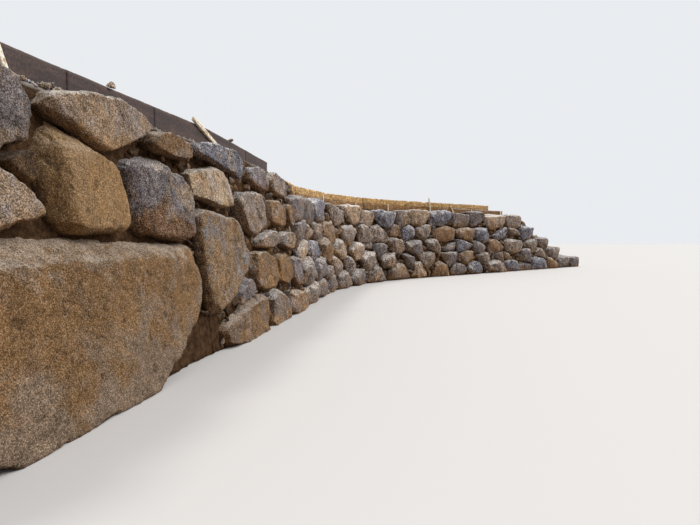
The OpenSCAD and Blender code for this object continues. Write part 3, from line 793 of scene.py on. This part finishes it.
# How far the packing stays behind the face, at four stations, and the depth of its rear
PACK_STATIONS = (4.0, 5.5, 9.0, 11.0)
PACK_BEHIND = (0.17, 0.12, 0.13, 0.19)
PACK_REAR = 1.59
# Depth where the packing's top starts, and how far its front and rear stop below the top
PACK_TOP_FRONT = 0.56
FRONT_SHORT = 0.16
REAR_SHORT = 0.06
# Where the packing starts, and how far it stops short of the wall's end
PACK_START = 0.75
PACK_SHORT = 0.4
# Size of its quads in bays 1 and 2, and beyond
PACK_STEP = 0.055
PACK_STEP_FAR = 0.12
# Gravel in front of the boards: how far it is sunk, where it ends, and the width of its bank
GRAVEL_SINK = 0.11
GRAVEL_END = 0.95
GRAVEL_BANK = 0.15


def top_height(station):
    """Top of the hearting: it climbs under the near boards, steps down and rakes at the far end."""
    near = NEAR_TOP + NEAR_RISE * (np.minimum(station, NEAR_CREST) - END_LEN)
    near = near - NEAR_FALL * np.clip(station - NEAR_CREST, 0, None)
    far = FAR_TOP + FAR_DROP * np.clip((NEAR_RUN - station) / (NEAR_RUN - STEP_STATION), 0, None)
    high = np.where(station < STEP_STATION, near, far)
    return high * np.clip((WALL_END - station) / (WALL_END - RAKE_START), 0.04, 1)


def gravel_sink(depth):
    """How far the gravel in front of the boards lies below the top of the hearting."""
    return GRAVEL_SINK * np.clip((GRAVEL_END - depth) / GRAVEL_BANK, 0, 1)


def section_loop(station, step):
    """Closed loop of depth and height round the packing at one station: front, top, back and floor."""
    top = float(top_height(np.array(station)))
    n_up, n_across = max(4, round(2.6 / step)), max(6, round(1.2 / step))
    behind = float(np.interp(station, PACK_STATIONS, PACK_BEHIND))
    front = [(behind + BATTER * z, z) for z in np.linspace(0, top - FRONT_SHORT, n_up)]
    across = [(d, top - gravel_sink(d)) for d in np.linspace(PACK_TOP_FRONT, PACK_REAR, n_across)]
    rear = [(PACK_REAR, z) for z in np.linspace(top - REAR_SHORT, 0, n_up // 2)]
    floor = [(d, 0.0) for d in np.linspace(1.4, 0.3, n_across // 2)]
    return np.array(front + across + rear + floor)


def packing(first, last, step):
    """One closed body of earth between two stations."""
    stations = np.linspace(first, last, max(2, round((last - first) / step)) + 1)
    loops = [section_loop(min(s, WALL_END - 0.5), step) for s in stations]
    m = len(loops[0])
    depth = np.concatenate([l[:, 0] for l in loops])
    height = np.concatenate([l[:, 1] for l in loops])
    pts = place(np.repeat(stations, m), depth, height)
    start = np.arange(len(stations) - 1)[:, None] * m
    a, b = start + np.arange(m), start + (np.arange(m) + 1) % m
    quads = np.stack([a, a + m, b + m, b], -1).reshape(-1, 4)
    inner_depth = depth[:m].mean()
    cap_pts, caps = [], []
    for start, station, flip in ((0, stations[0], False), (len(pts) - m, stations[-1], True)):
        centre = len(pts) + len(cap_pts)
        cap_pts.append(place(station, inner_depth, height[start:start + m].mean()))
        ring = start + np.arange(m)
        pair = np.stack([ring, np.roll(ring, -1), np.roll(ring, -2), np.full(m, centre)], -1)[::2]
        caps.append(pair[:, ::-1] if flip else pair)
    pts = np.vstack([pts, cap_pts])
    quads = np.vstack([quads] + caps)
    out = point_normals(pts, quads)
    rough = 0.05 * fractal(pts, 0.45, 3, 0.55, 901) + 0.030 * chips(pts, 0.10, 77)
    rough = rough + 0.010 * fractal(pts, 0.06, 2)
    up = np.clip(out[:, 2], 0, 1)
    return above_ground(pts + out * (rough * (1 - 0.7 * up) - 0.012 * up)[:, None]), quads


def build_packing():
    """Earth and gravel in the place of each bay's hearting."""
    for bay in range(1, BAYS + 1):
        first = PACK_START if bay == 1 else (bay - 1) * WALL_END / BAYS
        last = min(bay * WALL_END / BAYS, WALL_END - PACK_SHORT)
        pts, quads = packing(first, last, PACK_STEP if bay <= 2 else PACK_STEP_FAR)
        heap = Heap()
        heap.add(pts, quads, 0)
        obj = heap.piece("packed_rubble_bay_%d" % bay, [EARTHY])
        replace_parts(obj, "hearting_bay_%d" % bay)


# Small stones in the joints and gravel on top

FRONT_NODES = [row[0] for row in NEAR] + ["face_boulders_bay_%d" % bay for bay in FACE_DENSITY]
REAR_NODES = ["rear_boulders_bay_%d" % bay for bay in range(1, BAYS + 1)]


def clearance(points, stones, limit=9.0, margin=0.15):
    """Distance from each point to the nearest boulder, below zero inside one, or limit far from all."""
    gap = np.full(len(points), limit)
    for middle, normals, dist, corners in stones:
        reach = np.linalg.norm(corners - middle, axis=1).max() + margin
        near = np.nonzero(np.linalg.norm(points - middle, axis=1) < reach)[0]
        if len(near):
            out = ((points[near] - middle) @ normals.T - dist).max(1)
            gap[near] = np.minimum(gap[near], out)
    return gap


def pebble(centre, half, seed, counts):
    """A small broken stone of about the given half size: a rounded cube with seven sides cut off."""
    rng = np.random.default_rng(seed)
    cube, quads = box_grid(counts)
    pts = cube / (np.abs(cube) ** 3.2).sum(1)[:, None] ** (1 / 3.2)
    for n in rng.normal(size=(7, 3)):
        n /= np.linalg.norm(n)
        over = np.clip(pts @ n - rng.uniform(0.50, 0.80), 0, None)
        pts = pts - over[:, None] * n
    turn, _ = np.linalg.qr(rng.normal(size=(3, 3)))
    if np.linalg.det(turn) < 0:
        turn[:, 0] *= -1
    size = half * np.array([1.35, 1.0, 0.7]) * rng.uniform(0.85, 1.2, 3)
    pts = (pts * size) @ turn.T
    pts *= 1 + 0.15 * noise(pts, half * 0.9, seed)[:, None]
    return pts + centre, quads


def add_pebble(heap, centre, half, seed, counts, kind, **fields):
    """Adds a small stone, clean of earth unless the fields say otherwise."""
    pts, quads = pebble(centre, half, seed, counts)
    heap.add(above_ground(pts), quads, KINDS.index(kind), **{"bed": 0.0, "side": 0.0, **fields})


def scatter(heap, centres, halves, seed, kinds, **fields):
    """Adds a small stone at each centre, leaving out those that crowd an earlier one."""
    rng = np.random.default_rng(seed)
    kept = []
    for i, (centre, half) in enumerate(zip(centres, halves)):
        if any(np.linalg.norm(centre - c) < 0.75 * (half + h) for c, h in kept):
            continue
        kept.append((centre, half))
        add_pebble(heap, centre, half, seed + i, (4, 3, 3), kinds[i % len(kinds)], drift=i * 1.7 % DRIFT,
                   tone=rng.random(), **fields)


# Tries to find places for chinks on each face, and the station up to which they count as near
CHINK_TRIES = 9000
CHINK_NEAR = 6
# The room that a chink needs, and the most that it has beside the great boulders
CHINK_ROOM = 0.012
CHINK_ROOM_GREAT = 0.045
CHINK_KINDS = ("earth", "grey", "ochre", "dark", "earth")


def joint_places(nodes, front, start, widest, rng):
    """Random places in the joints of one face: their stations, points and room to the nearest stone."""
    stones = [s for node in nodes for s in loose_stones(node)]
    tries = CHINK_TRIES
    near = rng.random(tries) < 0.45
    station = np.where(near, rng.uniform(start, 10, tries), rng.uniform(10, 27.5, tries))
    z = rng.random(tries) * (top_height(station) - 0.28)
    if front:
        depth = BATTER * z + rng.uniform(0.08, 0.18, tries)
    else:
        depth = REAR_FACE - rng.uniform(0.08, 0.14, tries)
    pts = place(station, depth, z)
    gap = clearance(pts, stones)
    good = (gap > CHINK_ROOM) & (gap < np.where(front & (station < 5), CHINK_ROOM_GREAT, widest))
    return station[good], pts[good], gap[good]


def build_chinks():
    """Small broken stones wedged in the joints of both faces."""
    rng = np.random.default_rng(61)
    heap = Heap()
    for nodes, front, start, widest, share in ((FRONT_NODES, True, 3.4, 0.10, 0.75),
                                               (REAR_NODES, False, 0.6, 0.17, 0.9)):
        station, pts, gap = joint_places(nodes, front, start, widest, rng)
        for near in (True, False):
            chosen = np.nonzero((station < CHINK_NEAR) == near)[0]
            if front and near:
                # The near chinks on the face are partly the dark kind painted as stones in deep shadow
                chosen, kinds = chosen[:110], ("earth", "damp")
            else:
                order = np.argsort(-gap[chosen] * rng.random(len(chosen)))
                chosen, kinds = chosen[order[:240 if near else 420]], CHINK_KINDS
            scatter(heap, pts[chosen], gap[chosen] * share + 0.015, 100 + 1000 * front + 5000 * near, kinds,
                    relief=0.6, bed=0.12, low=0.5, side=0.2, fine=0.8)
    heap.piece("joint_chinks", ROCK_LIST, False)


def build_rubble():
    """Loose rubble on the raking top of the hearting, at the far end."""
    rng = np.random.default_rng(71)
    count = 700
    station = rng.uniform(RAKE_START, WALL_END - 0.55, count)
    depth = rng.uniform(0.4, 1.55, count)
    half = rng.uniform(0.05, 0.13, count)
    pts = place(station, depth, top_height(station) + 0.1 * half)
    last_bay = ("face_boulders_bay_%d" % BAYS, "rear_boulders_bay_%d" % BAYS)
    chosen = clearance(pts, [s for node in last_bay for s in loose_stones(node)]) > 0
    heap = Heap()
    scatter(heap, pts[chosen], half[chosen], 8800, ("grey", "earth", "slate", "tan", "dark", "pale"),
            relief=0.7, low=0.3, fine=0.7)
    heap.piece("rake_rubble", ROCK_LIST, False)


def build_gravel():
    """Crushed stone on the hearting, in front of the boards: a heap at one spot, the rest spread out."""
    rng = np.random.default_rng(67)
    count, heaped, spot_station = 700, 380, 2.75
    kinds = ("tan", "pale", "slate", "grey", "pale")
    spot = np.arange(count) < heaped
    station = np.where(spot, spot_station + 0.28 * rng.normal(size=count), 0.9 + 8.2 * rng.random(count))
    depth = rng.uniform(0.55, GRAVEL_END, count)
    half = np.where(spot, rng.uniform(0.012, 0.030, count), rng.uniform(0.008, 0.016, count))
    z = top_height(station) - gravel_sink(depth) + half * np.where(spot, 1.0, -0.1)
    heap = Heap()
    for i, centre in enumerate(place(station, depth, z)):
        add_pebble(heap, centre, half[i], 4000 + i, (3, 3, 2), kinds[i % len(kinds)],
                   drift=i * 2.3 % DRIFT, tone=0.4 * rng.random(), relief=0.9, low=0.0, fine=1.0)
    heap.piece("top_gravel", ROCK_LIST)


# Stones left on the boards: station, half size, kind and seed
PERCHED = [(4.02, 0.060, "tan", 9124), (7.50, 0.045, "pale", 9346)]


def build_perched():
    """Two small stones left on the top edge of the near boards."""
    heap = Heap()
    for i, (station, half, kind, seed) in enumerate(PERCHED):
        centre = place(station, BOARD_DEPTH, top_height(station) + PANEL_H + 0.6 * half)
        add_pebble(heap, centre, half, seed, (8, 6, 6), kind, drift=i * 9.0, tone=0.2, relief=0.7,
                   low=0.3, fine=1.0)
    heap.piece("perched_stones", ROCK_LIST)


# Boards and stakes

# How square a section's corners are, over its width and its thickness
BOARD_SQUARE = np.array([24, 6])
STAKE_SQUARE = np.array([7, 7])


def sawn(stone, seed, step, bow, wear):
    """A sawn or film-faced piece on its CAD box: eased edges, a slight bow and worn ends.

    Returns points, quads and the fields that its material reads."""
    corners = stone[3]
    axes = principal_axes(corners)[:, ::-1]
    if axes[2, 1] < 0:
        axes[:, 1] *= -1
    axes[:, 2] = np.cross(axes[:, 0], axes[:, 1])
    centre = corners.mean(0)
    local = (corners - centre) @ axes
    centre = centre + axes @ ((local.max(0) + local.min(0)) / 2)
    half = (local.max(0) - local.min(0)) / 2
    body, quads = box_grid((max(4, int(2 * half[0] / step)), max(4, min(8, int(2 * half[1] / 0.03))), 4))
    square = BOARD_SQUARE if half[1] > 3 * half[2] else STAKE_SQUARE
    squash = (np.abs(body[:, 1:]) ** square).sum(1) ** (-1 / square.mean())
    body = np.hstack([body[:, :1], body[:, 1:] * np.minimum(squash, 1)[:, None]])
    pts = body * half
    rng = np.random.default_rng(seed)
    u, v = body[:, 0], body[:, 1]
    lengthwise, endwise = [1, 0, 0], [0, 1, 1]
    pts[:, 2] += bow * rng.uniform(-1, 1) * (1 - u * u) + bow * 0.6 * noise(pts, 0.5, seed)
    pts[:, 1] += bow * 0.7 * noise(pts * lengthwise, 0.6, seed + 1)
    pts[:, 1] -= wear * np.clip(v, 0, 1) * np.clip(noise(pts * lengthwise, 0.06, seed + 2), 0, 1)
    ends = np.sign(u) * (np.abs(u) > 0.97)
    pts[:, 0] -= min(2 * wear, 0.01) * ends * np.abs(noise(pts * endwise, 0.04, seed + 3))
    edge = np.clip((np.abs(v) - 0.93) / 0.07, 0, 1) * (0.35 + 0.65 * np.abs(noise(pts, 0.09, seed + 4)))
    foot = np.clip(-v * 0.5 - 0.05 + 0.5 * noise(pts, 0.12, seed + 5), 0, 1)
    return centre + pts @ axes.T, quads, dict(along=pts[:, 0], across=pts[:, 1], edge=edge, foot=foot)


def board_piece(node, material, seed, step, bow=0.004, wear=0.004, soiled=1.0):
    """Replaces one CAD node of boards or stakes; soiled is how much earth their foot carries."""
    heap = Heap()
    for i, part in enumerate(loose_stones(node)):
        pts, quads, fields = sawn(part, seed + i, step, bow, wear)
        fields["foot"] = fields["foot"] * soiled
        heap.add(pts, quads, 0, drift=(seed + i) * 3.7 % DRIFT, **fields)
    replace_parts(heap.piece(node + "_sawn", [material]), node)


def build_boards():
    """The form panels and planks on top, with their braces and stakes."""
    film = film_plywood()
    # The lower planks are darker than the upper ones
    lower = timber("weathered_plank", (0.26, 0.134, 0.045), (0.130, 0.061, 0.021))
    upper = timber("pine_plank", (0.56, 0.36, 0.147), (0.27, 0.146, 0.048))
    stake = timber("stake_timber", (0.78, 0.67, 0.52), (0.58, 0.46, 0.33), 44.0)
    board_piece("near_form_panels", film, 21, 0.05, 0.003, 0.003)
    board_piece("far_planks_lower", lower, 41, 0.08, 0.006)
    board_piece("far_planks_upper", upper, 61, 0.05, 0.010, 0.030)
    board_piece("board_braces", stake, 81, 0.04, soiled=0.0)
    board_piece("board_stakes", stake, 91, 0.04, soiled=0.0)


# Stage and light

FLOOR_HALF = 90
# The floor as it lights the wall, like bare soil, and as the camera sees it
FLOOR_SOIL = (0.30, 0.22, 0.15)
FLOOR_SEEN = (0.62, 0.60, 0.575)
# The sky at the horizon, overhead and as the camera sees it
SKY_LOW = (0.42, 0.43, 0.45)
SKY_HIGH = (0.72, 0.76, 0.84)
SKY_SEEN = (0.82, 0.84, 0.87)


def build_stage():
    """Pale floor as the camera sees it, which bounces no more light than bare soil."""
    mesh = bpy.data.meshes.new("floor")
    corners = [(x * FLOOR_HALF, y * FLOOR_HALF, 0) for x, y in ((-1, -1), (1, -1), (1, 1), (-1, 1))]
    mesh.from_pydata(corners, [], [(0, 1, 2, 3)])
    floor = new_object("floor", mesh)
    m = Material("floor")
    mesh.materials.append(m.finish(m.mix(m.seen_rays(), FLOOR_SOIL, FLOOR_SEEN), 0.9, 0.1))


def lamp(name, energy, colour, spread, toward):
    """A sun of the given spread in degrees, shining toward a direction."""
    sun = bpy.data.lights.new(name, "SUN")
    sun.energy = energy
    sun.color = colour
    sun.angle = math.radians(spread)
    new_object(name, sun).rotation_euler = Vector(toward).to_track_quat("-Z", "Y").to_euler()


def build_light():
    """Soft sky, brighter overhead, a broad key from the open side, and a weak sun high behind the wall."""
    world = bpy.data.worlds.new("studio")
    bpy.context.scene.world = world
    world.use_nodes = True
    n = Nodes(world.node_tree)
    sky = n.node("ValToRGB", {0: n.height(n.node("TexCoord").outputs["Generated"])})
    sky.color_ramp.elements[0].color = (*SKY_LOW, 1)
    sky.color_ramp.elements[1].color = (*SKY_HIGH, 1)
    back = n.tree.nodes["Background"]
    n.set(back.inputs[0], n.mix(n.seen_rays(), sky.outputs[0], SKY_SEEN))
    n.set(back.inputs[1], 1.0)
    lamp("broad_key", 2.6, (1.0, 0.98, 0.95), 45, (-0.40, 0.80, -0.65))
    lamp("rim_sun", 1.0, (1.0, 0.95, 0.88), 12, (0.35, -0.45, -1.0))


set_camera()
build_stones()
build_packing()
build_chinks()
build_rubble()
build_gravel()
build_perched()
build_boards()
build_stage()
build_light()
bpy.context.scene.view_settings.view_transform = "Standard"
